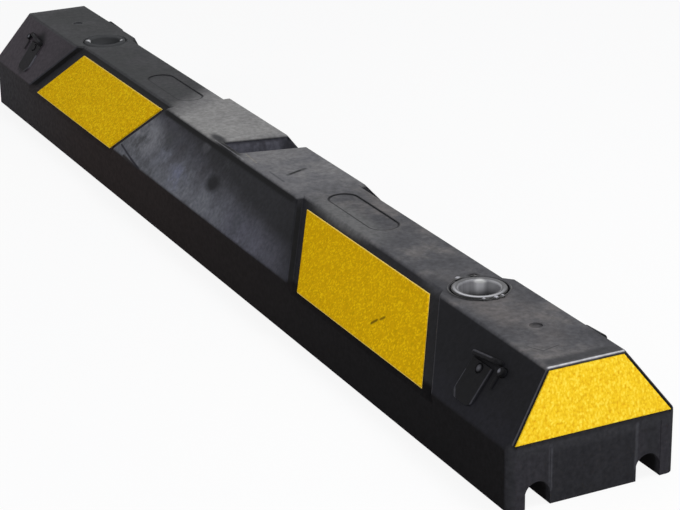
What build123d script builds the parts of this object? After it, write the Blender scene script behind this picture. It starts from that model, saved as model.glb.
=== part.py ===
from build123d import *
import math
import os

# Wheel stop for a parking bay: a moulded block with glued reflective panels and two fixing cups.
# Millimetres. X runs along the stop, Y across it from front to back, Z up.
# The origin is on the ground, under the middle of the block.

# Block
length = 1200.0
width = 150.0
height = 106.0
base_height = 51.5
top_width = 69.0
end_lean = 14.0
corner_radius = 8.5
edge_radius = 2.0

# Cross slot in the top, open at the back, closed at the front by a thin web
slot_width = 42.0
slot_depth = 30.0
slot_skew = 15.0
slot_web = 5.0
slot_corner_radius = 4.0
slot_edge_radius = 1.5

# Slanted recesses in both slopes, and the panels glued on their floors
centre_land = 132.5
end_land = 120.0
recess_slant = 60.0
recess_depth = 5.5
recess_wall_angle = 35.0
panel_inner_margin = 15.0
panel_outer_margin = 22.5
panel_low_margin = 4.8
panel_high_margin = 8.8
panel_thickness = 1.6

# Panels on the ends, each let into a shallow recess
end_panel_margin = 2.8
end_recess_depth = 1.0
end_panel_thickness = 1.6
panel_clearance = 0.3

# Fixing holes and the cups that line them
fixing_from_end = 175.0
bolt_hole_radius = 8.5
cup_bore_radius = 17.0
cup_wall = 2.5
cup_floor = 4.0
cup_depth = 56.5
cup_clearance = 0.25
flange_radius = 23.5
flange_thickness = 4.5
flange_sink = 3.5
flange_groove = 1.3
rim_radius = 2.2
rim_share = 0.4

# Arched channels under the base, for drainage and cables, with a shallow upright relief above each mouth
channel_offset = 49.5
channel_width = 22.0
channel_height = 21.0
relief_depth = 0.5
relief_below_base_top = 4.0

# Raised lug on the slopes near each end: a tongue with a stud, a tilted lip above it, a peg and a short rib
lug_from_end = 82.0
lug_width = 30.0
lug_length = 35.0
lug_height = 1.5
lug_above_base = 8.5
lug_corner_radius = 7.0
lug_edge_radius = 0.8
lip_width = 38.0
lip_thickness = 4.0
lip_height = 6.5
lip_gap = 2.7
lip_shift = 3.0
lip_tilt = 7.0
lip_end_radius = 5.0
lip_edge_radius = 1.9
stud_radius = 3.4
stud_height = 0.8
stud_seat_radius = 4.5
stud_seat_depth = 1.2
stud_below_lip = 8.2
peg_height = 4.0
peg_from_stud = 27.0
peg_rise = 7.5
rib_width = 3.0
rib_length = 11.0
rib_height = 1.5
rib_from_stud = 23.5
rib_below_lip = 5.2

# Plain blank label recesses and gate dimples in the top
label_from_centre = 218.0
label_length = 104.0
label_width = 28.0
label_depth = 0.8
gate_from_end = 87.0
gate_radius = 5.5
gate_depth = 1.5

# How far a cutter runs past the face that it opens
overrun = 5.0

# Worked out from the values above
half_length = length / 2
slope_run = (width - top_width) / 2
slope_rise = height - base_height
slope_length = math.hypot(slope_run, slope_rise)
end_face_length = math.hypot(end_lean, slope_rise)
recess_start = slot_width / 2 + centre_land
recess_length = half_length - end_land - recess_slant - recess_start
floor_low = -recess_depth * slope_rise / slope_run
floor_high = slope_length + recess_depth * slope_run / slope_rise
fixing_x = half_length - fixing_from_end
cup_radius = cup_bore_radius + cup_wall
well_floor = height - flange_sink - cup_depth
lug_x = half_length - lug_from_end
lip_base = lug_above_base + lug_length + lip_gap

# The front slope: local X along the stop, local Y up the slope from the base edge, local Z outwards
front_slope = Plane(
    origin=(0, -width / 2, base_height),
    x_dir=(1, 0, 0),
    z_dir=(0, -slope_rise, slope_run),
)

# The right end's leaning face: local X to the back, local Y up the face, local Z outwards
right_end = Plane(
    origin=(half_length, 0, base_height),
    x_dir=(0, 1, 0),
    z_dir=(slope_rise, 0, end_lean),
)


def mirrored_left(piece):
    """The same piece at the other end of the stop."""
    return mirror(piece, about=Plane.YZ)


def mirrored_back(piece):
    """The same piece on the other side of the stop."""
    return mirror(piece, about=Plane.XZ)


def four_ways(piece):
    """A piece of the front right quarter and its copies in the other three."""
    return [piece, mirrored_left(piece), mirrored_back(piece), Rot(0, 0, 180) * piece]


def plain_block():
    """The block before any cut: a trapezoid on an upright base, with leaning ends and rounded corners."""
    section = Polygon(
        (-width / 2, 0),
        (width / 2, 0),
        (width / 2, base_height),
        (top_width / 2, height),
        (-top_width / 2, height),
        (-width / 2, base_height),
        align=None,
    )
    block = extrude(Plane.YZ * section, amount=half_length, both=True)
    side_view = Polygon(
        (-half_length, 0),
        (half_length, 0),
        (half_length, base_height),
        (half_length - end_lean, height),
        (-half_length + end_lean, height),
        (-half_length, base_height),
        align=None,
    )
    block &= extrude(Plane.XZ * side_view, amount=width, both=True)
    return fillet(block.edges().filter_by(Axis.Z), corner_radius)


def slanted_outline(start, along, low, high):
    """A parallelogram on the slope, from low to high up it, whose ends run outwards on the way down.

    start is where its inner end meets the top edge of the slope.
    """
    low_x = start + recess_slant * (slope_length - low) / slope_length
    high_x = start + recess_slant * (slope_length - high) / slope_length
    return Polygon(
        (low_x, low),
        (low_x + along, low),
        (high_x + along, high),
        (high_x, high),
        align=None,
    )


def panel_recess():
    """Cutter for the recess in the front right slope, open at the top face and at the base's side.

    Its section has leaning walls, and is carried down the slope along the slant of the recess.
    """
    lean = math.tan(math.radians(recess_wall_angle))
    high = floor_high + overrun
    down = high - floor_low + overrun
    slant = recess_slant / slope_length
    start = recess_start - slant * (high - slope_length)
    section = Polygon(
        (start - overrun * lean, overrun),
        (start + recess_length + overrun * lean, overrun),
        (start + recess_length - recess_depth * lean, -recess_depth),
        (start + recess_depth * lean, -recess_depth),
        align=None,
    )
    top = front_slope.from_local_coords(Vector(0, high, 0))
    across = Plane(origin=top, x_dir=(1, 0, 0), z_dir=-front_slope.y_dir)
    way = Vector(slant, 0, 0) - front_slope.y_dir
    return extrude(across * section, amount=down * way.length, dir=way)


def in_recess_corner(edge):
    """Whether an edge is the inside corner between the floor and a wall of a recess."""
    middle = edge @ 0.5
    on_slope = front_slope.to_local_coords(Vector(middle.X, -abs(middle.Y), middle.Z))
    on_floor = abs(on_slope.Z + recess_depth) < edge_radius / 2
    return on_floor and floor_low + edge_radius < on_slope.Y < floor_high - edge_radius


def recessed_block():
    """The block with its four panel recesses, and with every outer edge above the ground rounded."""
    block = plain_block()
    for cutter in four_ways(panel_recess()):
        block -= cutter
    raised = block.edges().filter_by(lambda edge: edge.bounding_box().min.Z > edge_radius)
    outer = raised.filter_by(lambda edge: not in_recess_corner(edge))
    return fillet(outer, edge_radius)


def slope_panel():
    """Reflective panel on the floor of the front right recess."""
    outline = slanted_outline(
        recess_start + panel_inner_margin,
        recess_length - panel_inner_margin - panel_outer_margin,
        floor_low + panel_low_margin,
        floor_high - panel_high_margin,
    )
    return extrude(front_slope.offset(-recess_depth) * outline, amount=panel_thickness)


def end_outline(margin):
    """The right end's leaning face, drawn in by a margin."""
    face = Polygon(
        (-width / 2, 0),
        (width / 2, 0),
        (top_width / 2, end_face_length),
        (-top_width / 2, end_face_length),
        align=None,
    )
    return offset(face, amount=-margin, kind=Kind.INTERSECTION)


def end_recess():
    """Cutter for the shallow recess that takes the right end's panel."""
    outline = end_outline(end_panel_margin - panel_clearance)
    return extrude(right_end.offset(overrun) * outline, amount=-overrun - end_recess_depth)


def end_panel():
    """Reflective panel on the right end, standing a little out of its recess."""
    outline = end_outline(end_panel_margin)
    return extrude(right_end.offset(-end_recess_depth) * outline, amount=end_panel_thickness)


def cross_slot():
    """Cutter for the slot across the top, set at a slight angle."""
    front = -top_width / 2 + slot_web
    back = width / 2 + overrun
    front_x = slot_skew * front / top_width
    back_x = slot_skew * back / top_width
    plan = Polygon(
        (front_x - slot_width / 2, front),
        (front_x + slot_width / 2, front),
        (back_x + slot_width / 2, back),
        (back_x - slot_width / 2, back),
        align=None,
    )
    cutter = extrude(Plane.XY.offset(height - slot_depth) * plan, amount=slot_depth + overrun)
    front_corners = cutter.edges().filter_by(Axis.Z).group_by(Axis.Y)[0]
    return fillet(front_corners, slot_corner_radius)


def slotted(block):
    """The block with the slot cut across it, and the slot's rim rounded."""
    slot = cross_slot()
    cut = block - slot
    return fillet(new_edges(block, slot, combined=cut), slot_edge_radius)


def round_hole(x, radius, low, high):
    """An upright cylinder on the stop's centre line."""
    return extrude(Plane(origin=(x, 0, low)) * Circle(radius), amount=high - low)


def fixing_well():
    """Cutter for the right fixing hole: the seat of the flange, the well of the cup and the bolt hole."""
    above = height + overrun
    seat = round_hole(fixing_x, flange_radius + flange_groove, height - flange_sink, above)
    well = round_hole(fixing_x, cup_radius + cup_clearance, well_floor, above)
    bolt_hole = round_hole(fixing_x, bolt_hole_radius, -overrun, above)
    return seat + well + bolt_hole


def fixing_cup():
    """Flanged cup of the right fixing hole, with a rounded rim and a floor that the bolt head bears on."""
    flange_base = height - flange_sink
    flange_top = flange_base + flange_thickness
    flange = round_hole(fixing_x, flange_radius, flange_base, flange_top)
    tube = round_hole(fixing_x, cup_radius, well_floor, flange_base)
    bore = round_hole(fixing_x, cup_bore_radius, well_floor + cup_floor, flange_top)
    bolt_hole = round_hole(fixing_x, bolt_hole_radius, well_floor, flange_top)
    cup = flange + tube - bore - bolt_hole
    rim = cup.edges().filter_by(GeomType.CIRCLE).group_by(Axis.Z)[-1]
    return fillet(rim, min(rim_radius, rim_share * (flange_radius - cup_bore_radius)))


def base_channel():
    """Cutter for the front arched channel under the base, right through from end to end."""
    arch_radius = channel_width / 2
    straight = channel_height - arch_radius
    leg = Pos(-channel_offset, straight / 2 - overrun / 2) * Rectangle(channel_width, straight + overrun)
    arch = Pos(-channel_offset, straight) * Circle(arch_radius)
    return extrude(Plane.YZ * (leg + arch), amount=half_length + overrun, both=True)


def mouth_relief():
    """Cutter for the shallow upright relief above the front channel's mouth in the right end."""
    relief_top = base_height - relief_below_base_top
    upright = Rectangle(channel_width, relief_top + overrun)
    outline = Pos(-channel_offset, relief_top / 2 - overrun / 2) * upright
    return extrude(Plane.YZ.offset(half_length - relief_depth) * outline, amount=relief_depth + overrun)


def slope_block(x, across, low, high, above):
    """A rectangular block on the front slope, standing above it and rooted as deep below it."""
    outline = Pos(x, (low + high) / 2) * Rectangle(across, high - low)
    return extrude(front_slope * outline, amount=above, both=True)


def slope_lip():
    """The lip above the front right tongue: a bar with round ends, tilted up towards the stop's end."""
    place = Location((lug_x + lip_shift, lip_base + lip_thickness / 2, 0), (0, 0, lip_tilt))
    tilted = Plane(front_slope.location * place)
    bar = extrude(tilted * Rectangle(lip_width, lip_thickness), amount=lip_height, both=True)
    outwards = Axis(tilted.origin, tilted.z_dir)
    end_edges = bar.edges().filter_by(Axis(tilted.origin, tilted.y_dir)).sort_by(outwards)[-2:]
    bar = fillet(end_edges, lip_end_radius)
    long_edges = bar.faces().sort_by(outwards)[-1].edges().filter_by(Axis(tilted.origin, tilted.x_dir))
    return fillet(long_edges, lip_edge_radius)


def softened(part):
    """A raised part of the front slope with the edges of its outer face rounded."""
    outwards = Axis(front_slope.origin, front_slope.z_dir)
    return fillet(part.faces().sort_by(outwards)[-1].edges(), lug_edge_radius)


def slope_lug():
    """Raised parts of the front right lug: a lip, a tongue with round lower corners and a short rib."""
    lug_top = lug_above_base + lug_length
    outwards = Axis(front_slope.origin, front_slope.z_dir)
    tongue = slope_block(lug_x, lug_width, lug_above_base, lug_top, lug_height)
    tongue = fillet(tongue.edges().filter_by(outwards).sort_by(Axis.Z)[:2], lug_corner_radius)
    rib_top = lip_base - rib_below_lip
    rib = slope_block(lug_x + rib_from_stud, rib_width, rib_top - rib_length, rib_top, rib_height)
    return [slope_lip(), softened(tongue), softened(rib)]


def slope_post(x, up, radius, low, high):
    """A round post square to the front slope."""
    return extrude(front_slope.offset(low) * (Pos(x, up) * Circle(radius)), amount=high - low)


def lug_posts():
    """The cutters for two round seats, and what stands in them: a stud on the tongue and a peg beside it."""
    stud = (lug_x, lip_base - stud_below_lip)
    peg = (lug_x + peg_from_stud, lip_base - stud_below_lip + peg_rise)
    seats = slope_post(*stud, stud_seat_radius, lug_height - stud_seat_depth, lug_height + overrun)
    seats += slope_post(*peg, stud_seat_radius, -stud_seat_depth, overrun)
    posts = softened(slope_post(*stud, stud_radius, 0, lug_height + stud_height))
    posts += softened(slope_post(*peg, stud_radius, -lug_height, peg_height))
    return seats, posts


def label_recess():
    """Cutter for a plain shallow recess in the top, with round ends."""
    plan = Pos(label_from_centre, 0) * SlotOverall(label_length, label_width)
    return extrude(Plane.XY.offset(height - label_depth) * plan, amount=label_depth + overrun)


def gate_dimple():
    """Cutter for the small round dimple that the moulding gate leaves in the top."""
    return round_hole(half_length - gate_from_end, gate_radius, height - gate_depth, height + overrun)


def moulded_body():
    """The whole block with its lugs and every cut."""
    body = recessed_block()
    seats, posts = lug_posts()
    for raised in slope_lug():
        for copy in four_ways(raised):
            body += copy
    for seat, post in zip(four_ways(seats), four_ways(posts)):
        body = body - seat + post
    right_cutters = [end_recess(), fixing_well(), label_recess(), gate_dimple()]
    for cutter in right_cutters:
        body -= cutter
        body -= mirrored_left(cutter)
    for cutter in four_ways(mouth_relief()):
        body -= cutter
    channel = base_channel()
    body -= channel
    body -= mirrored_back(channel)
    return slotted(body)


def pieces():
    """Every separate piece of the stop, by name."""
    front_right, front_left, back_right, back_left = four_ways(slope_panel())
    cup = fixing_cup()
    plate = end_panel()
    return {
        "body": moulded_body(),
        "front_panel_right": front_right,
        "front_panel_left": front_left,
        "back_panel_right": back_right,
        "back_panel_left": back_left,
        "end_panel_right": plate,
        "end_panel_left": mirrored_left(plate),
        "fixing_cup_right": cup,
        "fixing_cup_left": mirrored_left(cup),
    }


os.makedirs("parts", exist_ok=True)
for name, piece in pieces().items():
    export_step(piece, f"parts/{name}.step")
    print(f"{name}: {len(piece.solids())} solid, {piece.volume / 1000:.1f} cm3")
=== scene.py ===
# %% [markdown]
# # A moulded rubber wheel stop
# A wheel stop lies at the end of a parking bay and tells the driver where to halt. This one is a black
# rubber block with yellow reflective sheeting let into its slopes and ends, and two flanged cups for
# ground anchors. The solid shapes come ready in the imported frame, so this lesson adds what makes them look
# real: worn rubber, beaded and pebbled sheeting, squeezed-out rubber round the cups, soft light and a
# camera. Places and sizes on the stop are written in millimetres, and MM turns them into Blender's metres.

# %% Load the solid shapes
import math

import bpy
import numpy as np
from mathutils import Matrix, Vector


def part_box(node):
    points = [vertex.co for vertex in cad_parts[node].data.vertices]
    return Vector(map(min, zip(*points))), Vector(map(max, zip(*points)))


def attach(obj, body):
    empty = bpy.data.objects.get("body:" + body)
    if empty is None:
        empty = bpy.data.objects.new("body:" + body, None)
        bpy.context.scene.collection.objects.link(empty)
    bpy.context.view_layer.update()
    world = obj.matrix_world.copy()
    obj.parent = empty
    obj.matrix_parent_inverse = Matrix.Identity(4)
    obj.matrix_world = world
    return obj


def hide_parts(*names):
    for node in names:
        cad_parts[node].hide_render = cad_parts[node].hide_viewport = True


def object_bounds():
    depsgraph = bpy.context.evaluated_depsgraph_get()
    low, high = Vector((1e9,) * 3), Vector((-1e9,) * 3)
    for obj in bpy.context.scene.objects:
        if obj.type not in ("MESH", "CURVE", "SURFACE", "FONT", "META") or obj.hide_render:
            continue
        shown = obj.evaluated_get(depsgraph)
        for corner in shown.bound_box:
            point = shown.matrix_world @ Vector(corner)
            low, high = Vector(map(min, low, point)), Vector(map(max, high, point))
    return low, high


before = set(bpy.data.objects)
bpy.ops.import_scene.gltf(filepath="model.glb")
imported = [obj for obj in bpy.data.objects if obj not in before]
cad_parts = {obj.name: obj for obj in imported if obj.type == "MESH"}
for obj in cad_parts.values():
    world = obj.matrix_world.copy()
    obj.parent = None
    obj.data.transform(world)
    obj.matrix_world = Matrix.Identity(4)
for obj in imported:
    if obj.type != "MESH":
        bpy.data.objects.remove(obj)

cad_low, cad_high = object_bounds()
MM = 0.001
print("nodes:", ", ".join(sorted(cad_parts)))
print("box in mm:", [round(side / MM, 1) for side in cad_high - cad_low])

# %% [markdown]
# ## Camera
# The picture looks down the length of the stop from beyond its right end, a little above and in front of
# it. A long lens keeps the far end from shrinking much. The camera is written as a direction (azimuth and
# elevation), a small roll, and a distance, and it is moved sideways and up or down until the stop sits
# where it should in the frame. Its lens follows from the focal length in pixels, because the frame is 680
# pixels wide.

# %% Place the camera
frame_width = 680
sensor_width = 36.0
focal_pixels = 2202.0
azimuth, elevation, roll = np.radians((63.80, 21.20, -0.96))
camera_distance, camera_right, camera_up = 2180.9 * MM, 75.1 * MM, -9.2 * MM

level_part = math.cos(elevation)
back = Vector((math.sin(azimuth) * level_part, -math.cos(azimuth) * level_part, math.sin(elevation)))
level = Vector((0, 0, 1)).cross(back).normalized()
tilt = Matrix.Rotation(roll, 3, back)
right = tilt @ level
up = tilt @ back.cross(level)
camera = bpy.data.objects.new("camera", bpy.data.cameras.new("camera"))
camera.data.sensor_width = sensor_width
camera.data.lens = focal_pixels / frame_width * sensor_width
camera.matrix_world = Matrix((right, up, back)).transposed().to_4x4()
camera.location = back * camera_distance + right * camera_right + up * camera_up
bpy.context.scene.collection.objects.link(camera)
bpy.context.scene.camera = camera
print("lens in mm:", round(camera.data.lens, 1))

# %% [markdown]
# ## Small tools for materials
# Colours are written as sRGB hex values, which is how a paint program shows them, but the renderer adds
# light in linear values. One function turns the first into the second. Another adds a node, sets its
# properties and feeds its inputs with constants or with the results of other nodes, so a material reads
# from top to bottom. A third starts an empty material.

# %% Colour and node helpers
def linear(colour):
    """A hex colour as linear red, green, blue and alpha, by the sRGB curve with its straight foot."""
    srgb = np.array([int(colour[i:i + 2], 16) for i in (1, 3, 5)]) / 255
    rgb = np.where(srgb <= 0.04045, srgb / 12.92, ((srgb + 0.055) / 1.055) ** 2.4)
    return (*rgb.tolist(), 1.0)


def add_node(tree, kind, inputs=None, **settings):
    """Adds one node and gives back the socket with its result. An input is a constant or such a socket."""
    node = tree.nodes.new(kind)
    for name, value in settings.items():
        setattr(node, name, value)
    for name, value in (inputs or {}).items():
        if isinstance(value, bpy.types.NodeSocket):
            tree.links.new(value, node.inputs[name])
        else:
            node.inputs[name].default_value = value
    return next((socket for socket in node.outputs if socket.enabled), None)


def new_material(name):
    """An empty node material and its tree."""
    material = bpy.data.materials.new(name)
    material.use_nodes = True
    material.node_tree.nodes.clear()
    return material, material.node_tree


# The numbers of a Mix node's sockets for colours, and the setting that makes a ramp soft at both ends
MIX_FACTOR, MIX_A, MIX_B = 0, 6, 7
SMOOTH = {"interpolation_type": "SMOOTHSTEP"}
print("white is", linear("#ffffff"))

# %% [markdown]
# ## Floor, background and light
# Soft studio light comes from three large lamps and a grey surround. One lamp stands overhead, a little
# behind the stop, so the rounded edges catch it. One beyond the right end lights the end panel, and a
# weaker one in front opens the shadows. The camera and the reflections see a white surround, while the
# floor keeps a share of its own shading and with it the shadow of the stop.

# %% Surround and floor
bpy.context.scene.view_settings.view_transform = "Standard"
surround_level = 0.32
floor_size = 40.0
floor_glow = 0.88
# The floor lies just below the base, so that the two do not share a plane.
floor_drop = 0.2 * MM

world = bpy.data.worlds.new("studio")
bpy.context.scene.world = world
world.use_nodes = True
sky = world.node_tree
sky.nodes.clear()


def seen_directly(tree):
    """1 for rays from the camera, from reflections and through glass, and 0 for rays that gather light."""
    rays = add_node(tree, "ShaderNodeLightPath").node.outputs
    seen = rays["Is Camera Ray"]
    for kind in ("Is Glossy Ray", "Is Transmission Ray"):
        seen = add_node(tree, "ShaderNodeMath", {0: seen, 1: rays[kind]}, operation="MAXIMUM")
    return seen


ambient = add_node(sky, "ShaderNodeBackground", {"Color": linear("#f4f6ff"), "Strength": surround_level})
white = add_node(sky, "ShaderNodeBackground", {"Color": linear("#ffffff"), "Strength": 1.0})
surround = add_node(sky, "ShaderNodeMixShader", {0: seen_directly(sky), 1: ambient, 2: white})
add_node(sky, "ShaderNodeOutputWorld", {"Surface": surround})

half_floor = floor_size / 2
corner_signs = ((-1, -1), (1, -1), (1, 1), (-1, 1))
floor_corners = [(x * half_floor, y * half_floor, -floor_drop) for x, y in corner_signs]
floor_mesh = bpy.data.meshes.new("floor")
floor_mesh.from_pydata(floor_corners, [], [(0, 1, 2, 3)])
floor = bpy.data.objects.new("floor", floor_mesh)
bpy.context.scene.collection.objects.link(floor)

# White paint, matt: most of what the eye sees of it is glow, which merges it with the background.
floor_paint, floor_tree = new_material("white_painted_floor")
matt = add_node(floor_tree, "ShaderNodeBsdfDiffuse", {"Color": linear("#ffffff")})
glow = add_node(floor_tree, "ShaderNodeEmission", {"Color": linear("#ffffff"), "Strength": 1.0})
share = add_node(floor_tree, "ShaderNodeMath", {0: seen_directly(floor_tree), 1: floor_glow},
                 operation="MULTIPLY")
painted = add_node(floor_tree, "ShaderNodeMixShader", {0: share, 1: matt, 2: glow})
add_node(floor_tree, "ShaderNodeOutputMaterial", {"Surface": painted})
floor_mesh.materials.append(floor_paint)
print("floor of", floor_size, "m")

# %% Lamps
def add_lamp(name, place, aim, size, watts):
    """A square area lamp at one point, turned to face another, all in metres."""
    data = bpy.data.lights.new(name, "AREA")
    data.size = size
    data.energy = watts
    lamp = bpy.data.objects.new(name, data)
    lamp.location = place
    lamp.rotation_euler = (Vector(aim) - Vector(place)).to_track_quat("-Z", "Y").to_euler()
    lamp.visible_camera = False
    bpy.context.scene.collection.objects.link(lamp)
    return lamp


lamps = [
    add_lamp("lamp_overhead", place=(0.9, 0.8, 2.2), aim=(0.1, 0, 0), size=0.9, watts=22),
    add_lamp("lamp_right_end", place=(2.6, -0.2, 1.2), aim=(0.5, 0, 0), size=1.0, watts=24),
    add_lamp("lamp_front", place=(-1.2, -2.7, 1.4), aim=(0, 0, 0), size=1.2, watts=11),
]
print("lamps:", [lamp.name for lamp in lamps])

# %% [markdown]
# ## Reading places from the solids
# Marks and masks need places on the block. Its box and the corners of its flat panels are read from the
# solids. The two slopes are the same, so a place on a slope is written as its distance along the stop and
# its distance up the slope from the base, and turned into a point on the front slope.

# %% Places on the block
# The origin lies under the middle of the block, so the high corner of its box gives these three.
half_length, half_width, top_height = np.array(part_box("body")[1]) / MM
# The box does not give these: the height of the base, half the width of the top, the lean of the ends.
base_height, top_half_width, end_lean = 51.5, 34.5, 14.0
slope_run, slope_rise = half_width - top_half_width, top_height - base_height
slope_length = math.hypot(slope_run, slope_rise)
slope_up = Vector((0, slope_run, slope_rise)) / slope_length
slope_out = Vector((0, -slope_rise, slope_run)) / slope_length
slope_foot = Vector((0, -half_width, base_height))
cup_low, cup_high = (np.array(corner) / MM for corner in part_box("fixing_cup_right"))
cup_radius = (cup_high[0] - cup_low[0]) / 2
right_cup = Vector(((cup_low[0] + cup_high[0]) / 2, 0, top_height))
left_cup = Vector((-right_cup.x, 0, top_height))


def on_slope(along, rise, height=0.0):
    """A point on the front slope in mm, some way along the stop, up the slope and out from it."""
    return slope_foot + Vector((along, 0, 0)) + slope_up * rise + slope_out * height


def on_top(along, across, depth=0.0):
    """A point on the top in mm, some way along the stop, across it and down from it."""
    return Vector((along, across, top_height - depth))


def at_angle(centre, degrees, reach):
    """The point some way from a centre and level with it, at an angle from the length of the stop."""
    angle = math.radians(degrees)
    return centre + Vector((math.cos(angle), math.sin(angle), 0)) * reach


def folded(point):
    """The same point with all its parts positive, so that one mark serves both sides and both ends."""
    return Vector([abs(part) for part in point])


def sheet_corners(node):
    """The four corners of a flat solid's outer face in order round it, its outward direction and its
    thickness. The outward direction is the one in which the solid's corners spread least."""
    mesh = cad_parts[node].data
    points = np.empty(len(mesh.vertices) * 3)
    mesh.vertices.foreach_get("co", points)
    points = np.unique(points.reshape(-1, 3).round(6), axis=0)
    middle = points.mean(axis=0)
    outward = np.linalg.svd(points - middle)[2][2]
    outward *= np.sign(outward @ (middle - np.array((cad_low + cad_high) / 2)))
    depth = (points - middle) @ outward
    face = points[depth > 0]
    face = face[np.argsort(face[:, 2])]
    along = np.cross((0, 0, 1), outward)
    low, high = (pair[np.argsort(pair @ along)] for pair in (face[:2], face[2:]))
    return (low[0], low[1], high[1], high[0]), outward, np.ptp(depth)


print("slopes of", round(slope_length, 1), "mm")
for node in ("front_panel_right", "end_panel_right"):
    print(node, np.round(np.array(sheet_corners(node)[0]) / MM, 1).tolist())

# %% [markdown]
# ## Masks for wear
# Dust, haze and scuffs are layers of colour that cover a piece only in places. Painted images could hold
# them, but then each piece would first have to be unwrapped. Here a mask is worked out from the place on
# the piece instead: a spot, a stroke, or a ramp along some direction. Masks have names, and a layer covers
# the overlap of those that it names.

# %% Spots, strokes, ramps and layers
# A spot is full within this share of its radii, and a stroke within this share of its half width.
spot_core, stroke_core = 0.3, 0.25


def in_millimetres(tree):
    """The place on the piece, in millimetres."""
    place = add_node(tree, "ShaderNodeTexCoord").node.outputs["Object"]
    return add_node(tree, "ShaderNodeVectorMath", {0: place, "Scale": 1 / MM}, operation="SCALE")


def spot_mask(tree, point, centre, radii):
    """1 in the core of an ellipsoid, fading to 0 at its surface: the length of (point - centre) / radii."""
    offset = add_node(tree, "ShaderNodeVectorMath", {0: point, 1: centre}, operation="SUBTRACT")
    share = add_node(tree, "ShaderNodeVectorMath", {0: offset, 1: radii}, operation="DIVIDE")
    reach = add_node(tree, "ShaderNodeVectorMath", {0: share}, operation="LENGTH")
    return add_node(tree, "ShaderNodeMapRange",
                    {"Value": reach, "From Min": 1.0, "From Max": spot_core}, **SMOOTH)


def stroke_mask(tree, point, start, end, width, radius=0.0):
    """1 on the line from start to end, fading to 0 at half its width, by the distance to the line's nearest
    point. With a radius it is the outline of the bar that a disc of that radius sweeps along the line."""
    run = Vector(end) - Vector(start)
    per_length = run / run.length_squared
    offset = add_node(tree, "ShaderNodeVectorMath", {0: point, 1: start}, operation="SUBTRACT")
    along = add_node(tree, "ShaderNodeVectorMath", {0: offset, 1: per_length}, operation="DOT_PRODUCT")
    kept = add_node(tree, "ShaderNodeClamp", {"Value": along})
    nearest = add_node(tree, "ShaderNodeVectorMath", {0: run, "Scale": kept}, operation="SCALE")
    reach = add_node(tree, "ShaderNodeVectorMath", {0: offset, 1: nearest}, operation="DISTANCE")
    past = add_node(tree, "ShaderNodeMath", {0: reach, 1: radius}, operation="SUBTRACT")
    miss = add_node(tree, "ShaderNodeMath", {0: past}, operation="ABSOLUTE")
    return add_node(tree, "ShaderNodeMapRange",
                    {"Value": miss, "From Min": width / 2, "From Max": width / 2 * stroke_core}, **SMOOTH)


def ramps(tree, edges):
    """Masks by name: each goes softly from 0 to 1 as its value goes from the first number to the second."""
    masks = {}
    for name, (value, start, end) in edges.items():
        masks[name] = add_node(tree, "ShaderNodeMapRange",
                               {"Value": value, "From Min": start, "From Max": end}, **SMOOTH)
    return masks


def overlap(tree, masks, names):
    """Where all the named masks overlap: their product."""
    first, *others = names.split()
    shared = masks[first]
    for name in others:
        shared = add_node(tree, "ShaderNodeMath", {0: shared, 1: masks[name]}, operation="MULTIPLY")
    return shared


def overlaps(tree, masks, named_layers):
    """Layers as pairs of a mask and a colour, from pairs of the masks' names and a colour."""
    return [(overlap(tree, masks, names), tint) for names, tint in named_layers]


def layered_colour(tree, ground, layers):
    """The ground colour covered by each layer in turn, as far as the layer's mask says."""
    shade = linear(ground)
    for mask, tint in layers:
        shade = add_node(tree, "ShaderNodeMix", {MIX_FACTOR: mask, MIX_A: shade, MIX_B: linear(tint)},
                         data_type="RGBA")
    return shade


print("a spot is full within", spot_core, "of its radii")

# %% [markdown]
# ## Moulded rubber: zones
# The block is pressed from recycled rubber, so its colour is nearly black and its surface is half matt.
# What tells its age is where dust and wear gather: grey dust on the top, and clean black in the recesses,
# which are also kept dark as painted shade. The middle of the slopes carries a bluish haze, which is a
# painted sheen, and the band under the top edge is left dark as painted shade. The upright base pales
# towards the left end. Each of these has a zone on the block, with a soft border.

# %% Zones of the block
# The low haze ends this far up the slope in the middle, and falls by this share towards the right end.
haze_top, haze_tilt = 42.0, 0.13
# The left border of the dust is skewed by this share of the distance across the top.
dust_skew = 0.8


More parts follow.
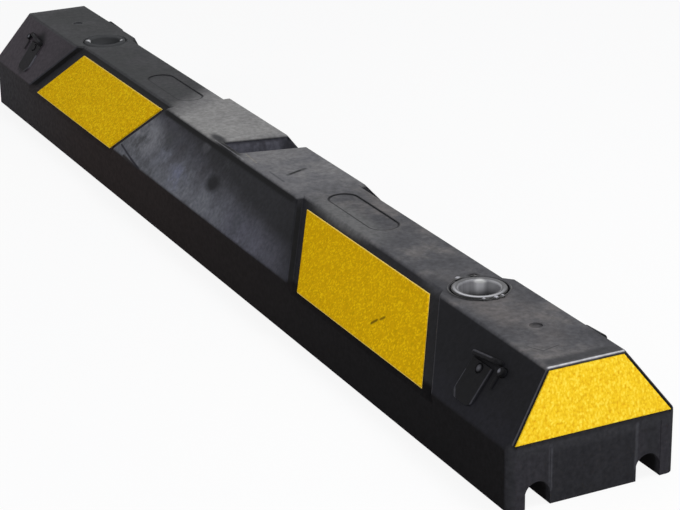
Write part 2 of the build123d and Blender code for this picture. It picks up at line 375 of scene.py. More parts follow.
def rubber_zones(tree):
    """The place on the block, the same place folded, and a mask for each zone of the block.
    An edge is the value that its mask follows, where the mask is 0 and where it is 1, in mm."""
    point = in_millimetres(tree)
    fold = add_node(tree, "ShaderNodeVectorMath", {0: point}, operation="ABSOLUTE")
    place = add_node(tree, "ShaderNodeSeparateXYZ", {0: point}).node.outputs
    away = add_node(tree, "ShaderNodeSeparateXYZ", {0: fold}).node.outputs
    out_of_slope = folded(slope_out)
    surface = out_of_slope.dot(folded(slope_foot))
    out = add_node(tree, "ShaderNodeVectorMath", {0: fold, 1: out_of_slope}, operation="DOT_PRODUCT")
    up_slope = Vector((0, -slope_run, slope_rise)) / slope_length
    foot = (slope_rise * base_height - slope_run * half_width) / slope_length
    rise = add_node(tree, "ShaderNodeVectorMath", {0: fold, 1: up_slope}, operation="DOT_PRODUCT")
    tilted = add_node(tree, "ShaderNodeMath", {0: place["X"], 1: haze_tilt, 2: rise},
                      operation="MULTIPLY_ADD")
    skewed = add_node(tree, "ShaderNodeMath", {0: place["Y"], 1: dust_skew, 2: place["X"]},
                      operation="MULTIPLY_ADD")
    edges = {
        # Top, base and ends
        "top": (place["Z"], top_height - 2.6, top_height - 0.3),
        "base": (place["Z"], base_height + 1.5, base_height - 2.5),
        "base_top": (place["Z"], base_height - 11.0, base_height - 5.0),
        "base_left": (place["X"], 450.0, -450.0),
        "base_far": (place["X"], -250.0, -700.0),
        "outer_strip": (away["Y"], 36.0, 42.0),
        "tip": (away["X"], half_length - 8.0, half_length - 3.0),
        "far": (place["X"], 100.0, -140.0),
        "near": (place["X"], -140.0, 100.0),
        "far_end": (place["X"], -300.0, -520.0),
        # Recesses and slot, which lie below the slope, and lugs, which stand out from it
        "recess": (out, surface - 0.6, surface - 1.4),
        "recess_floor": (out, surface - 4.6, surface - 5.2),
        "rim": (place["Z"], top_height - 10.0, top_height - 2.0),
        "slot_reach": (away["X"], 100.0, 60.0),
        "slot_top": (place["Z"], top_height - 1.0, top_height - 7.0),
        "slot_low": (place["Z"], top_height - 30.0, top_height - 16.0),
        "raised": (out, surface + 0.4, surface + 1.6),
        # Haze on the slopes
        "below_top": (rise, foot + slope_length - 4.0, foot + slope_length - 10.0),
        "low": (tilted, foot + haze_top + 14.0, foot + haze_top - 16.0),
        "at_foot": (rise, foot + 34.0, foot + 4.0),
        "fade_up": (rise, foot + slope_length - 21.0, foot + 2.0),
        "middle": (away["X"], 300.0, 230.0),
        "haze_right": (place["X"], 230.0, 110.0),
        "haze_left": (place["X"], 90.0, -20.0),
        # Dust on the top
        "dust_left": (skewed, -195.0, -115.0),
        "dust_right": (place["X"], 190.0, 100.0),
        "left_of_slot": (place["X"], 0.0, -30.0),
    }
    return point, fold, ramps(tree, edges)


print("low haze up to", haze_top, "of", round(slope_length, 1), "mm")

# %% [markdown]
# ## Moulded rubber: single marks
# Rounded edges catch the light, and that is drawn here as painted highlights, with painted shade beside
# some of them; knocks and scratches stay where they fell. A mark is a stroke: its start, its end, its width,
# the radius if it is an outline, and its colour. The marks on edges are the same on both sides and at both
# ends, so they are written once and looked up at the folded place. A spot is a soft patch, given by its
# middle and its radii.

# %% Marks on both sides and at both ends
edge_end = half_length - end_lean
shade_inset, corner_inset, strip_line = 7.0, 2.5, 38.5
corner_along, corner_across = half_length - corner_inset, half_width - corner_inset
oval_middle, oval_half, oval_radius = 218.0, 38.0, 14.0
recess_end_high, recess_end_low = 420.0, 480.0
tongue_inner, tongue_outer = 503.0, 531.5
stud_along, stud_rise = 518.0, 38.0
peg_along, peg_rise = 543.5, 45.5
# A stroke as short as this is a round dot.
dot = 0.1


def slope_mark(start, end, width, tint):
    """A mark on the slopes, with its ends given as on_slope takes them."""
    return folded(on_slope(*start)), folded(on_slope(*end)), width, tint


edge_marks = [
    # End of the top: a painted shade, and a painted highlight on the rounded lip of its edge
    (on_top(edge_end - shade_inset, 0), on_top(edge_end - shade_inset, top_half_width - shade_inset),
     18.0, "#424244"),
    (on_top(edge_end, 0), on_top(edge_end, top_half_width), 2.8, "#c9c9cc"),
    # Painted highlights on the rounded corners beside the end panel and on the base
    ((half_length, half_width, base_height), on_top(edge_end, top_half_width), 2.6, "#4b4b4f"),
    ((corner_along, corner_across, 0), (corner_along, corner_across, base_height), 11.0, "#2c2c2f"),
    # Painted highlight on the upright step line on the end of the base
    ((half_length, strip_line, 12), (half_length, strip_line, base_height - 3), 5.0, "#3b3b3f"),
    # Painted shade round the outline of the blank oval recess in the top
    (on_top(oval_middle - oval_half, 0), on_top(oval_middle + oval_half, 0), 3.4, oval_radius, "#2d2d2f"),
    # Painted shade under the top edge between the panels, and a painted highlight on the outer edge of a
    # panel's recess
    slope_mark((0, slope_length - 4.5), (150, slope_length - 4.5), 8.0, "#08080a"),
    slope_mark((recess_end_high, slope_length), (recess_end_low, 0), 3.6, "#36363b"),
    # Lug: painted highlights on both edges of the tongue, the lip, the stud and the peg
    slope_mark((tongue_inner, 31, 0.8), (tongue_inner, 16, 0.8), 3.6, "#55555b"),
    slope_mark((tongue_inner, 16, 0.8), (tongue_inner + 7, 9, 0.8), 3.4, "#434348"),
    slope_mark((tongue_outer, 42, 1.5), (tongue_outer, 11, 1.5), 2.6, "#39393e"),
    slope_mark((tongue_inner + 2, 47.6, 6), (tongue_outer - 1.5, 50.8, 6), 3.2, "#3d3d41"),
    slope_mark((stud_along, stud_rise, 2.3), (stud_along, stud_rise + dot, 2.3), 7.0, "#58585d"),
    slope_mark((peg_along, peg_rise, 4), (peg_along, peg_rise + dot, 4), 5.0, "#707076"),
]
print(len(edge_marks), "marks on both sides and at both ends")

# %% Marks and spots in one place
single_marks = [
    # A knock in the top with a dark floor, and scratches in front of it and beside the slot
    (on_top(96, -16.5), on_top(87, 5.5), 6.4, "#4a4a4c"),
    (on_top(94.5, -13), on_top(89.5, -1), 4.4, "#202021"),
    (on_top(80, -27.5), on_top(112, -28), 3.4, "#545457"),
    (on_top(20.5, -25.5), on_top(50, -27.5), 2.0, "#85817a"),
    # Two rubbed lines near the right end
    (on_top(546, -27), on_top(558, -21), 2.2, "#4a4a4b"),
    (on_top(558, -21), on_top(554, -5), 2.2, "#4a4a4b"),
    # Pale edge in front of the slot
    (on_top(-34, -34, 0.6), on_top(34, -34, 0.6), 1.6, "#97979a"),
    # Shade over the left lug
    (on_slope(-517, 48, 1), on_slope(-520, 17, 1), 36.0, "#19181b"),
    # Cracked foot of the slope
    (on_slope(-184, 0.5), on_slope(-152, -1.5), 6.0, "#2a2728"),
    (on_slope(-201, 9), on_slope(-166, 3), 3.4, "#2a2a31"),
    (on_slope(-166, 3), on_slope(-141, -0.5), 4.0, "#222229"),
]
gate_reach = 87.0
# Rubber is squeezed out round the cups on this circle.
bead_circle = cup_radius + 2.4
# The front of the right cup, as a spot: a highlight is painted on its collar there and a shadow on the
# rubber
scuff = (at_angle(right_cup, -40, 15.0), (31.0, 31.0, 12.0))
rubber_spots = {
    # The pale patch and the two blue patches on the slope are part of the painted sheen.
    "pale_patch": (on_slope(-165, 32), (58.0, 26.0, 30.0)),
    "blue_patch": (on_slope(-64, 15), (34.0, 16.0, 18.0)),
    "blue_patch_far": (on_slope(-104, 21), (38.0, 18.0, 20.0)),
    "dark_smear": (on_slope(8, 32.5), (19.0, 13.0, 14.0)),
    "grey_smudge": (on_slope(-40, 58), (12.0, 10.0, 10.0)),
    "end_dust": (on_top(470, -4), (110.0, 34.0, 12.0)),
    "oval_dust": (on_top(232, -20), (84.0, 24.0, 10.0)),
    "bare_patch": (on_top(412, -25), (46.0, 15.0, 10.0)),
    "far_gate": (on_top(gate_reach - half_length, 0), (9.0, 9.0, 6.0)),
    "left_cup_dust_and_light": (left_cup, (40.0, 40.0, 14.0)),
    "dark_lump": (at_angle(right_cup, 160, cup_radius + 4.0), (7.0, 7.0, 5.0)),
    "scuff": scuff,
    "slot_side": (on_top(-37, -29), (24.0, 8.0, 9.0)),
    "slot_mouth": (on_top(-4, -33, 2), (44.0, 8.0, 9.0)),
}


def cup_circle(radius, width, height=0.0):
    """A circle round the middle of the right cup, as a stroke of some width: the outline of a round dot."""
    centre = right_cup + Vector((0, 0, height))
    return centre, centre + Vector((dot, 0, 0)), width, radius


print(len(single_marks), "single marks and", len(rubber_spots), "spots")

# %% [markdown]
# ## Moulded rubber: colour
# Colour is laid on in layers: bare rubber, then haze on the slopes, the recesses, the base, the dust on
# the top, and single marks last. Each layer covers what lies under it. Clouds and mottling are noise of
# the size of a hand and of a fingertip. The granules that the rubber was pressed from show through all of
# it as a fine speckle, which makes the colour a little lighter or darker from one granule to the next.

# %% Noise in dust and haze
cloud_size, mottle_size, dust_size, streak_size = 70.0, 24.0, 46.0, 15.0
patch_detail, patch_roughness = 8.0, 0.66
# For each kind of patch: the size of its noise, and the noise at which its mask is 0 and 1
patches = {
    "cloudy": (cloud_size, 0.35, 0.62),
    "patchy": (mottle_size, 0.42, 0.7),
    "dusty": (dust_size, 0.45, 0.66),
    "rubbed": (dust_size, 0.5, 0.3),
}
# Heights count for this share where streaks are looked up, which draws the noise out upright.
streak_squeeze = 0.05


def rubber_noise(tree, point):
    """Masks for patches and for upright streaks."""
    edges = {}
    for name, (size, start, end) in patches.items():
        noise = add_node(tree, "ShaderNodeTexNoise", {
            "Vector": point, "Scale": 1 / size, "Detail": patch_detail, "Roughness": patch_roughness})
        edges[name] = (noise, start, end)
    drawn = add_node(tree, "ShaderNodeVectorMath", {0: point, 1: (1, 1, streak_squeeze)},
                     operation="MULTIPLY")
    runs = add_node(tree, "ShaderNodeTexNoise", {"Vector": drawn, "Scale": 1 / streak_size, "Detail": 4.0})
    edges["streaky"] = (runs, 0.42, 0.66)
    return ramps(tree, edges)


print("clouds of", cloud_size, "mm, mottling of", mottle_size, "mm, dust patches of", dust_size, "mm")

# %% Layers of colour
# Masks that are the overlap of others, in an order in which each finds its parts
joined_masks = {
    "hazy": "middle haze_right",
    "centre": "hazy below_top",
    "haze": "centre low",
    "foot_haze": "hazy at_foot",
    "left_haze": "middle haze_left fade_up",
    "slot": "recess slot_reach",
    "end_base": "base tip",
    "dust": "top dust_left dust_right",
    "pale_dust": "dust left_of_slot",
}
# The haze layers on the slopes are a painted sheen; the ground left under the top edge is painted shade.
slope_layers = [
    ("at_foot", "#1b1b20"),
    ("far_end", "#413c41"),
    ("raised", "#141416"),
    ("centre", "#262629"),
    ("haze", "#39383c"),
    ("haze cloudy", "#434349"),
    ("foot_haze", "#4b4b54"),
    ("foot_haze cloudy", "#585862"),
    ("haze patchy", "#4a4b52"),
    ("left_haze", "#5f6066"),
    ("left_haze cloudy", "#67696f"),
    ("left_haze patchy", "#73757b"),
    ("pale_patch", "#76777c"),
    ("centre haze_left rubbed", "#444548"),
    ("blue_patch patchy", "#70748a"),
    ("blue_patch_far patchy", "#70737e"),
    ("dark_smear", "#1d1d20"),
    ("grey_smudge", "#424246"),
]
# The recesses keep clean black rubber, darkened as painted shade as well.
recess_layers = [
    ("recess", "#111112"),
    ("recess_floor", "#232326"),
    ("recess rim", "#222225"),
    ("recess rim far", "#121214"),
    # The slot's wall is painted lighter in the middle of its height, against its shade, and darker at top
    # and foot.
    ("slot", "#26262a"),
    ("slot slot_top slot_low", "#5e5e67"),
    ("slot slot_top streaky", "#37373c"),
]
base_layers = [
    ("base", "#161516"),
    ("base base_left", "#2d2726"),
    ("base base_far", "#3d3c3e"),
    ("end_base", "#27272a"),
    ("end_base outer_strip", "#2f2e32"),
    ("end_base streaky", "#2a2a2d"),
    ("end_base base_top", "#303033"),
]
top_layers = [
    ("top", "#525255"),
    ("top far", "#38393a"),
    ("top near dusty", "#6d6a69"),
    ("top near rubbed", "#444447"),
    ("top far dusty", "#414143"),
    ("end_dust cloudy", "#696564"),
    ("dust", "#67676a"),
    ("dust cloudy", "#777677"),
    ("dust dusty", "#7c7b7b"),
    ("pale_dust", "#868584"),
    ("pale_dust cloudy", "#939290"),
    ("oval_dust", "#666666"),
    ("bare_patch", "#434346"),
    # Painted light in the dimple of the left gate, against its shade
    ("far_gate", "#4d4e50"),
    # Dust round the left cup, and painted light in the groove round its collar, against its shade
    ("left_cup_dust_and_light", "#4a4b4c"),
    ("dark_lump", "#070708"),
    # Painted shadow on the rubber in front of the right cup's collar
    ("scuff cup_shade", "#08080a"),
    ("slot_side", "#38383a"),
    # Painted shadow in the mouth of the slot
    ("slot_mouth", "#1f1f21"),
]
rubber_layers = slope_layers + recess_layers + base_layers + top_layers
print(len(rubber_layers), "layers of colour")

# %% Put the colour together
granule_size, granule_contrast = 4.0, 0.2


def rubber_colour(tree, point, fold, zones):
    """Haze, dust and marks over black rubber, with the speckle of the granules in all of it."""
    masks = {**zones, **rubber_noise(tree, point)}
    masks["cup_shade"] = stroke_mask(tree, point, *cup_circle(bead_circle, 8.0))
    for name, spot in rubber_spots.items():
        masks[name] = spot_mask(tree, point, *spot)
    for name, parts in joined_masks.items():
        masks[name] = overlap(tree, masks, parts)
    layers = overlaps(tree, masks, rubber_layers)
    layers += [(stroke_mask(tree, fold, *mark), tint) for *mark, tint in edge_marks]
    layers += [(stroke_mask(tree, point, *mark), tint) for *mark, tint in single_marks]
    shade = layered_colour(tree, "#17171a", layers)
    granules = add_node(tree, "ShaderNodeTexNoise", {
        "Vector": point, "Scale": 1 / granule_size, "Detail": 2.0})
    speckle = add_node(tree, "ShaderNodeMapRange", {
        "Value": granules, "From Min": 0.3, "From Max": 0.7,
        "To Min": 1 - granule_contrast, "To Max": 1 + granule_contrast})
    return add_node(tree, "ShaderNodeMix", {MIX_FACTOR: 1.0, MIX_A: shade, MIX_B: speckle},
                    data_type="RGBA", blend_type="MULTIPLY")


print("granules of", granule_size, "mm")

# %% [markdown]
# ## Moulded rubber: relief and gloss
# The mould leaves a fine grain of about a millimetre, and the rubber shrinks unevenly as it cools, so
# broad faces are never quite flat. Both are drawn as bump: they are far too shallow to change the outline.
# The top and the slopes are half matt, and the base, which nothing rubs, is fully matt.

# %% Put the rubber together
grain_size, grain_depth = 1.3, 0.06
wave_size, wave_depth = 55.0, 0.5
slope_roughness, base_roughness = 0.6, 1.0


def moulded_rubber():
    """Recycled rubber pressed in a steel mould: near black, half matt, dusty on top."""
    material, tree = new_material("moulded_recycled_rubber")
    point, fold, zones = rubber_zones(tree)
    waves = add_node(tree, "ShaderNodeTexNoise", {"Vector": point, "Scale": 1 / wave_size, "Detail": 1.0})
    grain = add_node(tree, "ShaderNodeTexNoise", {"Vector": point, "Scale": 1 / grain_size, "Detail": 2.0})
    wavy = add_node(tree, "ShaderNodeBump", {"Height": waves, "Distance": wave_depth * MM})
    grainy = add_node(tree, "ShaderNodeBump", {
        "Height": grain, "Distance": grain_depth * MM, "Normal": wavy})
    gloss = add_node(tree, "ShaderNodeMapRange", {
        "Value": zones["base"], "To Min": slope_roughness, "To Max": base_roughness})
    surface = add_node(tree, "ShaderNodeBsdfPrincipled", {
        "Base Color": rubber_colour(tree, point, fold, zones),
        "Roughness": gloss,
        "Specular IOR Level": 0.06,
        "Normal": grainy,
    })
    add_node(tree, "ShaderNodeOutputMaterial", {"Surface": surface})
    return material


def dress(node, material):
    """Gives a solid from the frame one new finish."""
    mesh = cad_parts[node].data
    mesh.materials.clear()
    mesh.materials.append(material)


dress("body", moulded_rubber())
print("body is dressed in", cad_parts["body"].data.materials[0].name)

# %% [markdown]
# ## Moulded polymer cups
# The cups that take the anchor bolts are a harder, glossier polymer, pressed into the rubber. The bore of
# the right one is painted light near its rim and dark deeper down, with upright streaks, painted light on
# one side and a painted bright streak and glint on its far wall; its collar has a painted highlight on the
# front and painted shade on its outer wall. The left one lies under a film of dust and is as grey as the top
# round it, apart from two painted highlights on its rim. Their shape is the solids' own, so only a finish is
# made here, with masks of the same kinds.

# %% Right cup: scuffed and streaked
collar_width = 6.5
cup_bore_radius = cup_radius - collar_width
wear_size, bore_streak_size, bore_streak_squeeze = 5.0, 4.0, 0.06
polished_roughness, worn_roughness = 0.3, 0.5


def bore_line(degrees, width):
    """A line down the wall of the right cup's bore at one angle, as a stroke of some width."""
    high = at_angle(right_cup, degrees, cup_bore_radius)
    return high, high - Vector((0, 0, cup_bore_radius)), width


rubbed_line, pale_line = bore_line(148, 13.0), bore_line(95, 26.0)
rim_glint = (rubbed_line[0] - Vector((0, 0, 1)), (7.0, 7.0, 2.4))
# Painted light and shade: the highlight on the collar's front and the shade on its outer wall; the bore's
# wall lit near the rim and dark deeper down, its lit side, its bright streak and glint
cup_layers = [
    ("wear", "#565657"),
    ("rim", "#4c4c4e"),
    ("scuff scuffed_line", "#c2c2c6"),
    ("outer_wall", "#0d0d0e"),
    ("inside", "#2e2e2d"),
    ("wall", "#77777a"),
    ("wall streaky", "#8c8c8f"),
    ("wall pale_line", "#a6a6a8"),
    ("shallow rubbed", "#c8c8cb"),
    ("rim_glint", "#e4e4e2"),
]


def moulded_polymer():
    """Glass-filled polyamide, moulded and half gloss: dark grey with soft highlights on the collar, partly
    painted, and painted light and shade in the bore.
    """
    material, tree = new_material("moulded_glass_filled_polyamide")
    point = in_millimetres(tree)
    offset = add_node(tree, "ShaderNodeVectorMath", {0: point, 1: right_cup}, operation="SUBTRACT")
    flat = add_node(tree, "ShaderNodeVectorMath", {0: offset, 1: (1, 1, 0)}, operation="MULTIPLY")
    reach = add_node(tree, "ShaderNodeVectorMath", {0: flat}, operation="LENGTH")
    height = add_node(tree, "ShaderNodeSeparateXYZ", {0: offset}).node.outputs["Z"]
    drawn = add_node(tree, "ShaderNodeVectorMath", {0: point, 1: (1, 1, bore_streak_squeeze)},
                     operation="MULTIPLY")
    runs = add_node(tree, "ShaderNodeTexNoise", {
        "Vector": drawn, "Scale": 1 / bore_streak_size, "Detail": 3.0})
    wear = add_node(tree, "ShaderNodeTexNoise", {"Vector": point, "Scale": 1 / wear_size, "Detail": 4.0})
    masks = ramps(tree, {
        "inside": (reach, cup_bore_radius + 2.0, cup_bore_radius + 0.6),
        "shallow": (height, -15.5, -3.0),
        "below_rim": (height, 0.2, -1.2),
        "rim": (reach, cup_radius - 4.6, cup_radius - 3.0),
        "outer_wall": (reach, cup_radius - 1.3, cup_radius - 0.8),
        "streaky": (runs, 0.3, 0.7),
    })
    masks["wear"] = wear
    masks["scuff"] = spot_mask(tree, point, *scuff)
    masks["scuffed_line"] = stroke_mask(tree, point, *cup_circle(cup_radius - 2.7, 3.4, height=1.0))
    masks["rubbed_line"] = stroke_mask(tree, point, *rubbed_line)
    masks["pale_line"] = stroke_mask(tree, point, *pale_line)
    masks["rim_glint"] = spot_mask(tree, point, *rim_glint)
    masks["wall"] = overlap(tree, masks, "inside shallow")
    masks["rubbed"] = overlap(tree, masks, "below_rim rubbed_line")
    gloss = add_node(tree, "ShaderNodeMapRange", {
        "Value": wear, "To Min": polished_roughness, "To Max": worn_roughness})
    surface = add_node(tree, "ShaderNodeBsdfPrincipled", {
        "Base Color": layered_colour(tree, "#3c3c3d", overlaps(tree, masks, cup_layers)),
        "Roughness": gloss,
        "Specular IOR Level": 0.3,
    })
    add_node(tree, "ShaderNodeOutputMaterial", {"Surface": surface})
    return material


dress("fixing_cup_right", moulded_polymer())
print("bore of", round(2 * cup_bore_radius, 1), "mm")

# %% Left cup: dusty
glint_reach = cup_bore_radius + 0.5
# The angle and the radius of each painted highlight on the left cup's rim
glints = [(244, 5.2), (64, 4.0)]


def dusty(name):
    """A material under a film of dust: matt, as grey as the top, and painted a little paler down the cup's
    bore against its shade, with two painted highlights on the left cup's rim.
    """
    material, tree = new_material(name)
    point = in_millimetres(tree)
    height = add_node(tree, "ShaderNodeSeparateXYZ", {0: point}).node.outputs["Z"]
    masks = ramps(tree, {"deep": (height, top_height - 1, top_height - 14)})
    masks["wear"] = add_node(tree, "ShaderNodeTexNoise", {
        "Vector": point, "Scale": 1 / wear_size, "Detail": 4.0})
    layers = overlaps(tree, masks, [("wear", "#4f5051"), ("deep", "#5b5c5e")])
    for degrees, size in glints:
        glint_spot = at_angle(left_cup, degrees, glint_reach)
        layers.append((spot_mask(tree, point, glint_spot, (size, size, size)), "#e4e4e4"))
    surface = add_node(tree, "ShaderNodeBsdfPrincipled", {
        "Base Color": layered_colour(tree, "#454647", layers),
        "Roughness": 0.85,
        "Specular IOR Level": 0.05,
    })
    add_node(tree, "ShaderNodeOutputMaterial", {"Surface": surface})
    return material


dress("fixing_cup_left", dusty("dusty_glass_filled_polyamide"))
print(len(glints), "chips on the left collar")

# %% [markdown]
# ## Rubber squeezed out round the cups
# The cups are pressed in while the rubber is still soft, so a thin bead of it stands up round each collar,
# with a few wet-looking blobs. A sculpted mesh could show them, but a formula is easier to change: the bead
# is a small round profile, a little flattened, carried round a circle, and its size changes with the angle.

# %% Beads round the cups
thin_bead = 0.25
bead_flatness, bead_lift = 0.8, 0.1
bead_steps, bead_sides = 240, 12
# Each blob's angle in degrees, its spread in degrees and how far it swells the bead
blobs = {
    "right": [(-22, 5, 2.0), (1, 6, 2.4), (16, 5, 2.0), (194, 9, 2.1), (160, 7, 1.0), (60, 12, 0.5),
              (-100, 20, 0.3)],
    "left": [(-147, 9, 0.6), (63, 9, 0.4), (170, 20, 0.3), (-60, 20, 0.2)],
}


def ring_mesh(grid, name):
    """A closed surface from a grid of points that joins up in both directions."""
    rows, columns = grid.shape[:2]
    index = np.arange(rows * columns).reshape(rows, columns)
    ahead, beside = np.roll(index, -1, axis=0), np.roll(index, -1, axis=1)
    quads = np.stack((index, ahead, np.roll(ahead, -1, axis=1), beside), axis=-1).reshape(-1, 4)
    mesh = bpy.data.meshes.new(name)
    mesh.from_pydata(grid.reshape(-1, 3), [], quads.tolist())
    mesh.polygons.foreach_set("use_smooth", np.ones(len(mesh.polygons), bool))
    piece = bpy.data.objects.new(name, mesh)
    bpy.context.scene.collection.objects.link(piece)
    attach(piece, "root")
    return piece


def bead_piece(side):
    """A closed bead round one cup. At each angle its section is a circle, flattened and lifted a little,
    whose radius is the thin bead's plus the sum of the blobs, each a bell curve of the angle from its
    middle: swell times e to the minus (angle from the middle / spread) squared."""
    angle = np.linspace(0, 2 * np.pi, bead_steps, endpoint=False)
    around = np.linspace(0, 2 * np.pi, bead_sides, endpoint=False)
    size = np.full(angle.shape, thin_bead)
    for middle, spread, swell in blobs[side]:
        away = (np.degrees(angle) - middle + 180) % 360 - 180
        size += swell * np.exp(-(away / spread) ** 2)
    reach = bead_circle + size[:, None] * np.cos(around)
    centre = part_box(f"fixing_cup_{side}")
    middle_x = (centre[0].x + centre[1].x) / 2 / MM
    grid = np.stack((
        middle_x + reach * np.cos(angle)[:, None],
        reach * np.sin(angle)[:, None],
        top_height + size[:, None] * (np.sin(around) * bead_flatness + bead_lift),
    ), axis=-1) * MM
    return ring_mesh(grid, f"squeezed_rubber_{side}")


squeezed_beads = {side: bead_piece(side) for side in blobs}
for bead in squeezed_beads.values():
    print(bead.name, len(bead.data.polygons), "faces")

# %% Finish of the beads
blob_mottle = 3.0
crest_start, crest_full = 1.1, 2.2


def fresh_rubber():
    """Rubber that set in the open, not in the mould: darker, glossier, with a painted highlight on the
    crests.
    """
    material, tree = new_material("squeezed_out_rubber")
    point = in_millimetres(tree)
    height = add_node(tree, "ShaderNodeSeparateXYZ", {0: point}).node.outputs["Z"]
    masks = ramps(tree, {"crest": (height, top_height + crest_start, top_height + crest_full)})
    masks["mottle"] = add_node(tree, "ShaderNodeTexNoise", {
        "Vector": point, "Scale": 1 / blob_mottle, "Detail": 3.0})
    layers = overlaps(tree, masks, [("mottle", "#1b1b1d"), ("crest", "#b4b4ba")])
    surface = add_node(tree, "ShaderNodeBsdfPrincipled", {
        "Base Color": layered_colour(tree, "#0d0d0e", layers),
        "Roughness": 0.3,
        "Specular IOR Level": 0.4,
    })
    add_node(tree, "ShaderNodeOutputMaterial", {"Surface": surface})
    return material


# The left bead lies under the same film of dust as its cup.
bead_finish = {"right": fresh_rubber(), "left": dusty("dusty_squeezed_out_rubber")}
for side, bead in squeezed_beads.items():
    bead.data.materials.append(bead_finish[side])
    print(bead.name, "is dressed in", bead_finish[side].name)

# %% [markdown]
# ## Reflective sheeting
# The sheeting is a plastic film full of tiny glass beads. On the slopes it is finely beaded, on the ends
# it is pressed into coarse pebbles. A bump map would lose this relief in the outline, so each sheet is
# modelled: a profile across the sheet, with a rounded edge and a worked face, is carried along its length.
# The corners of the sheet are read from the solid that it stands for.

# %% Domes scattered over a face
def scattered_domes(across, up, pitch, radius, seed):
    """Height (0 to 1) and tone (0 to 1) of the tallest dome over each point.
    The plane is cut into square cells of one pitch, and each cell has a dome at a random place in it. A
    dome's height is 1 - (distance / radius) squared. The radius is less than the pitch, so the nine cells
    round a point are enough to find the tallest."""
    rng = np.random.default_rng(seed)
    column, row = np.floor(across / pitch).astype(int), np.floor(up / pitch).astype(int)
    column, row = column - column.min() + 1, row - row.min() + 1
    shape = (column.max() + 2, row.max() + 2)
    left, below = across - (across / pitch % 1 + column) * pitch, up - (up / pitch % 1 + row) * pitch
    shift, tones = rng.random((2, *shape)), rng.random(shape)
    height, tone = np.zeros(across.shape), np.zeros(across.shape)
    for i in (-1, 0, 1):
        for j in (-1, 0, 1):
            cell = (column + i, row + j)
            centre_across = left + (cell[0] + shift[0][cell]) * pitch
            centre_up = below + (cell[1] + shift[1][cell]) * pitch
            dome = 1 - ((across - centre_across) ** 2 + (up - centre_up) ** 2) / radius ** 2
            tone = np.where(dome > height, tones[cell], tone)
            height = np.maximum(height, dome)
    return height, tone


trial = np.arange(6.0)
print("domes on a line:", scattered_domes(trial, trial, pitch=1.0, radius=0.9, seed=0)[0].round(2))

# %% A sheet with a worked face
sharp_angle = math.radians(60)


def sheet_piece(node, spacing, edge_radius, relief, seed):
    """A closed sheet in place of a flat solid. Its face is the bilinear patch between the four corners,
    moved along the outward direction by the relief, and drawn down in a quarter circle at the edges. At
    each step along the sheet the profile runs from the back edge over the face to the other back edge.
    Each point keeps two values for the finish: its tone, and cut_edge, which is 1 on the long edges."""
    corners, outward, thickness = sheet_corners(node)
    low_left, low_right, high_right, high_left = corners
    length, height = np.linalg.norm(low_right - low_left), np.linalg.norm(high_left - low_left)
    u = np.linspace(0, 1, int(length / spacing) + 1)[:, None, None]
    v = np.linspace(0, 1, int(height / spacing) + 1)[None, :, None]
    face = (1 - v) * ((1 - u) * low_left + u * low_right) + v * ((1 - u) * high_left + u * high_right)
    along = (low_right - low_left) / length
    across, rise = (face @ axis for axis in (along, np.cross(outward, along)))
    bump, tone = relief(across, rise, seed)
    level_border = np.minimum(v, 1 - v) * height
    border = np.minimum(np.minimum(u, 1 - u) * length, level_border)[..., 0]
    inset = np.clip(border / edge_radius, 0, 1)
    drop = edge_radius * (1 - np.sqrt(1 - (1 - inset) ** 2))
    worked = face + (bump * inset - drop)[..., None] * outward
    back_low, back_high = (face[:, [edge]] - thickness * outward for edge in (0, -1))
    profile = np.concatenate((back_low, worked, back_high), axis=1)

    steps, around = profile.shape[:2]
    index = np.arange(steps * around).reshape(steps, around)
    ahead = np.roll(index, -1, axis=1)
    quads = np.stack((index[:-1], index[1:], ahead[1:], ahead[:-1]), axis=-1).reshape(-1, 4)
    caps = [index[0].tolist(), index[-1, ::-1].tolist()]
    mesh = bpy.data.meshes.new(node + "_sheet")
    mesh.from_pydata(profile.reshape(-1, 3), [], quads.tolist() + caps)
    mesh.polygons.foreach_set("use_smooth", np.ones(len(mesh.polygons), bool))
    mesh.set_sharp_from_angle(angle=sharp_angle)
    cut_edge = np.broadcast_to(1 - np.clip(level_border[..., 0] / edge_radius, 0, 1), inset.shape)
    for name, values in (("tone", tone), ("cut_edge", cut_edge)):
        padded = np.pad(values, ((0, 0), (1, 1)), mode="edge").astype(np.float32)
        mesh.attributes.new(name, "FLOAT", "POINT").data.foreach_set("value", padded.ravel())
    piece = bpy.data.objects.new(node + "_sheet", mesh)
    bpy.context.scene.collection.objects.link(piece)
    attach(piece, "root")
    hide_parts(node)
    return piece


print("panels to stand in for:", [node for node in sorted(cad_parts) if "panel" in node])

# %% [markdown]
# ## Beaded sheeting on the slopes
# Beads stand close together, and each turns the light a little differently, so the face looks like fine
# sand. Real beads are about a tenth of a millimetre. Drawn at that size they would vanish between two
# pixels, so they are drawn as coarse as the grain that the eye sees, a little over a millimetre.

# %% Make and dress the slope sheets
bead_pitch, bead_radius, bead_height = 1.4 * MM, 1.3 * MM, 0.13 * MM
# The face of a sheet lies this far below the slope.
sheet_depth = 3.9
# The ends of each scuff (along the stop and up the slope), its width and its colour
panel_scuffs = [
    ((354.5, 15.5), (359, 20), 4.2, "#7c6108"),
    ((363, 22.7), (366.5, 25.7), 3.8, "#8c6e09"),
]
# The wear changes over this stretch along the stop.
worn_from, fresh_from = 100.0, -100.0


def beads(across, up, seed):
    """Fine beads: one dome in each small cell, and its tone."""
    dome, tone = scattered_domes(across, up, bead_pitch, bead_radius, seed)
    return dome * bead_height, tone


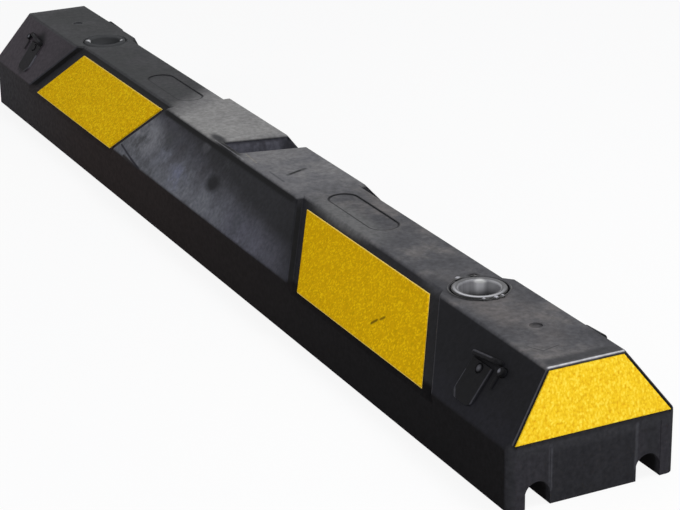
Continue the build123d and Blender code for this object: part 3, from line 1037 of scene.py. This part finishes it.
def beaded_sheeting():
    """Enclosed-lens reflective film: amber yellow, matt, with a sandy glitter. The sheets at the left end
    have had less wear and are lighter."""
    material, tree = new_material("beaded_reflective_film")
    point = in_millimetres(tree)
    along = add_node(tree, "ShaderNodeSeparateXYZ", {0: point}).node.outputs["X"]
    tone = add_node(tree, "ShaderNodeAttribute", attribute_name="tone").node.outputs["Fac"]
    masks = ramps(tree, {"fresh": (along, worn_from, fresh_from)})
    for name, start, end in (("bright", 0.55, 1.0), ("dark", 0.35, 0.0)):
        masks[name] = add_node(tree, "ShaderNodeMapRange", {
            "Value": tone, "From Min": start, "From Max": end})
    layers = overlaps(tree, masks, [
        ("fresh", "#ebb704"), ("bright", "#f8cf0c"), ("fresh bright", "#ffda18"), ("dark", "#d1a303")])
    for start, end, width, tint in panel_scuffs:
        ends = (on_slope(*place, -sheet_depth) for place in (start, end))
        layers.append((stroke_mask(tree, point, *ends, width), tint))
    cut_edge = add_node(tree, "ShaderNodeAttribute", attribute_name="cut_edge").node.outputs["Fac"]
    layers.append((cut_edge, "#ffe380"))
    surface = add_node(tree, "ShaderNodeBsdfPrincipled", {
        "Base Color": layered_colour(tree, "#dfad03", layers),
        "Roughness": 0.7,
        "Specular IOR Level": 0.03,
    })
    add_node(tree, "ShaderNodeOutputMaterial", {"Surface": surface})
    return material


beaded = beaded_sheeting()
slope_panels = ["front_panel_right", "front_panel_left", "back_panel_right", "back_panel_left"]
for seed, node in enumerate(slope_panels):
    sheet = sheet_piece(node, spacing=0.6 * MM, edge_radius=1.2 * MM, relief=beads, seed=seed)
    sheet.data.materials.append(beaded)
    print(sheet.name, len(sheet.data.polygons), "faces")

# %% [markdown]
# ## Pebbled sheeting on the ends
# The end sheets are brighter and have lumps, like orange peel, two to three millimetres across and longer
# up the sheet, the way it was drawn through the press. The tone follows the lumps' height, so the hollows
# are painted darker and more orange as painted shade, and the lumps paler. The lumps are the same scattered
# domes, wider, taller and stretched, with beads on them.

# %% Make and dress the end sheets
pebble_pitch, pebble_radius, pebble_height, pebble_stretch = 1.7 * MM, 1.5 * MM, 0.36 * MM, 1.7
# The beads on the pebbles are scattered by seeds of their own.
bead_seed = 10


def pebbles(across, up, seed):
    """Lumps that are longer up the sheet than across it, with beads of half height on them. The tone is
    the mean of the lump's tone, its height and the bead's tone; its height paints shade into the hollows."""
    lump, tone = scattered_domes(across, up / pebble_stretch, pebble_pitch, pebble_radius, seed)
    bead, glint = scattered_domes(across, up, bead_pitch, bead_radius, seed + bead_seed)
    return lump * pebble_height + bead * bead_height / 2, (tone + lump + glint) / 3


def pebbled_sheeting():
    """Pebbled reflective film: bright yellow on the lumps, amber in the hollows, partly painted light and
    shade.
    """
    material, tree = new_material("pebbled_reflective_film")
    tone = add_node(tree, "ShaderNodeAttribute", attribute_name="tone").node.outputs["Fac"]
    hollow = add_node(tree, "ShaderNodeMapRange", {"Value": tone, "From Min": 0.58, "From Max": 0.2})
    crest = add_node(tree, "ShaderNodeMapRange", {"Value": tone, "From Min": 0.62, "From Max": 0.95})
    surface = add_node(tree, "ShaderNodeBsdfPrincipled", {
        "Base Color": layered_colour(tree, "#f0c71f", [(hollow, "#dda80e"), (crest, "#fce04e")]),
        "Roughness": 0.5,
        "Specular IOR Level": 0.08,
    })
    add_node(tree, "ShaderNodeOutputMaterial", {"Surface": surface})
    return material


pebbled = pebbled_sheeting()
for seed, node in enumerate(["end_panel_right", "end_panel_left"]):
    sheet = sheet_piece(node, spacing=0.5 * MM, edge_radius=0.8 * MM, relief=pebbles, seed=seed)
    sheet.data.materials.append(pebbled)
    print(sheet.name, len(sheet.data.polygons), "faces")
